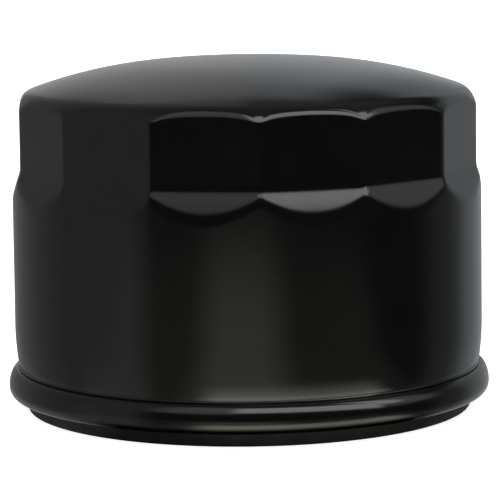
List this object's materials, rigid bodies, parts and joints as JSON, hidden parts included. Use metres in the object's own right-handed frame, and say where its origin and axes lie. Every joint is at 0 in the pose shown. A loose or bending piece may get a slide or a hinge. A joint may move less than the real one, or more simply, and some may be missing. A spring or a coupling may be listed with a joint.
{
  "type": "oil filter",
  "caption": "Short black spin-on oil filter for a small engine, with pressed wrench flats under a crowned top, a rolled seam and a rubber base gasket.",
  "frame": {"origin": "centre of the gasket's sealing face, on which the filter stands", "axes": "+Z is the filter's own axis, from the gasket up through the crown; +X and +Y lie in the sealing plane, and a corner between two wrench flats is 3 degrees from -Y towards +X"},
  "size_m": [0.076, 0.076, 0.055],
  "materials": {
    "can_paint": "satin black enamel on drawn steel",
    "lid_paint": "satin black enamel on the rolled seam and lid",
    "seam_compound": "matte sealing compound",
    "plate_steel": "pressed steel with a light oil film",
    "gasket_rubber": "matte moulded black rubber",
    "valve_rubber": "smooth moulded black rubber",
    "tin_plate": "thin tin-plated sheet",
    "plated_steel": "zinc-plated pressing",
    "potting": "cured grey potting compound",
    "filter_paper": "resin-treated pleated filter paper",
    "spring_steel": "oil-tempered spring steel"
  },
  "bodies": {
    "housing": {"can": "can_paint", "seaming_lid": "lid_paint", "seam_compound": "seam_compound", "base_plate": "plate_steel", "base_gasket": "gasket_rubber", "retaining_spring": "spring_steel"},
    "valve": {"anti_drain_valve": "valve_rubber"},
    "element": {"lower_end_cap": "tin_plate", "lower_potting": "potting", "pleated_media": "filter_paper", "media_clip": "tin_plate", "centre_tube": "tin_plate", "upper_potting": "potting", "upper_end_cap": "tin_plate", "bypass_seal": "valve_rubber", "bypass_cage": "tin_plate", "bypass_seat": "tin_plate", "bypass_spring": "spring_steel"},
    "poppet": {"bypass_poppet": "plated_steel", "poppet_facing": "valve_rubber"}
  },
  "joints": [
    {"name": "element_float", "type": "slide", "parent": "housing", "child": "element", "axis": [0, 0, 1], "range_m": [0, 0.001], "stiffness_N_per_m": 4000, "springref_m": -0.006, "deforming": ["retaining_spring"]},
    {"name": "bypass_open", "type": "slide", "parent": "element", "child": "poppet", "axis": [0, 0, -1], "range_m": [0, 0.003], "stiffness_N_per_m": 1500, "springref_m": -0.0045, "deforming": ["bypass_spring"]},
    {"name": "anti_drain_lift", "type": "slide", "parent": "housing", "child": "valve", "axis": [0, 0, 1], "range_m": [0, 0.0012], "stiffness_N_per_m": 200, "springref_m": -0.002, "deforming": ["anti_drain_valve"]}
  ]
}
